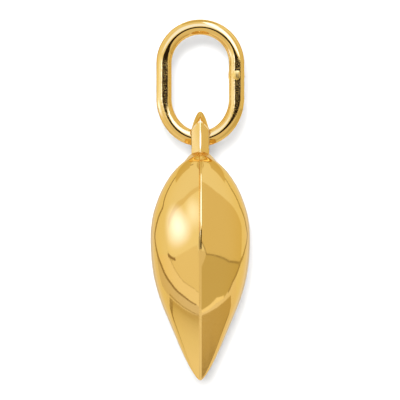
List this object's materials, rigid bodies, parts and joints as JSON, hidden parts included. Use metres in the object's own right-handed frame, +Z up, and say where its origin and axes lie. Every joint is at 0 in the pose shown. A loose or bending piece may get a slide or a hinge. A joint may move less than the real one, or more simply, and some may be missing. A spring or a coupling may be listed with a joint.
{
  "type": "puffed heart pendant",
  "caption": "Hollow puffed heart of gold sheet that swings from an oval wire bail by a ridged hanging loop, to be worn on a chain.",
  "frame": {"origin": "chain seat: middle of the bail's inner top, where a chain carries the pendant", "axes": "+Z up as the pendant hangs, X across the two lobes of the heart, +Y from the heart's front to its back"},
  "size_m": [0.0166, 0.0074, 0.027],
  "materials": {
    "gold": "polished",
    "solder": "satin"
  },
  "bodies": {
    "bail": {"bail": "gold", "bail_joint_solder": "solder"},
    "heart": {"front_shell": "gold", "back_shell": "gold", "seam_solder": "solder", "hanging_loop": "gold", "foot_solder": "solder"}
  },
  "joints": [
    {"name": "heart_swing", "type": "hinge", "parent": "bail", "child": "heart", "pos_m": [0, 0, -0.0078], "axis": [0, 1, 0], "range_deg": [-110, 110]}
  ]
}
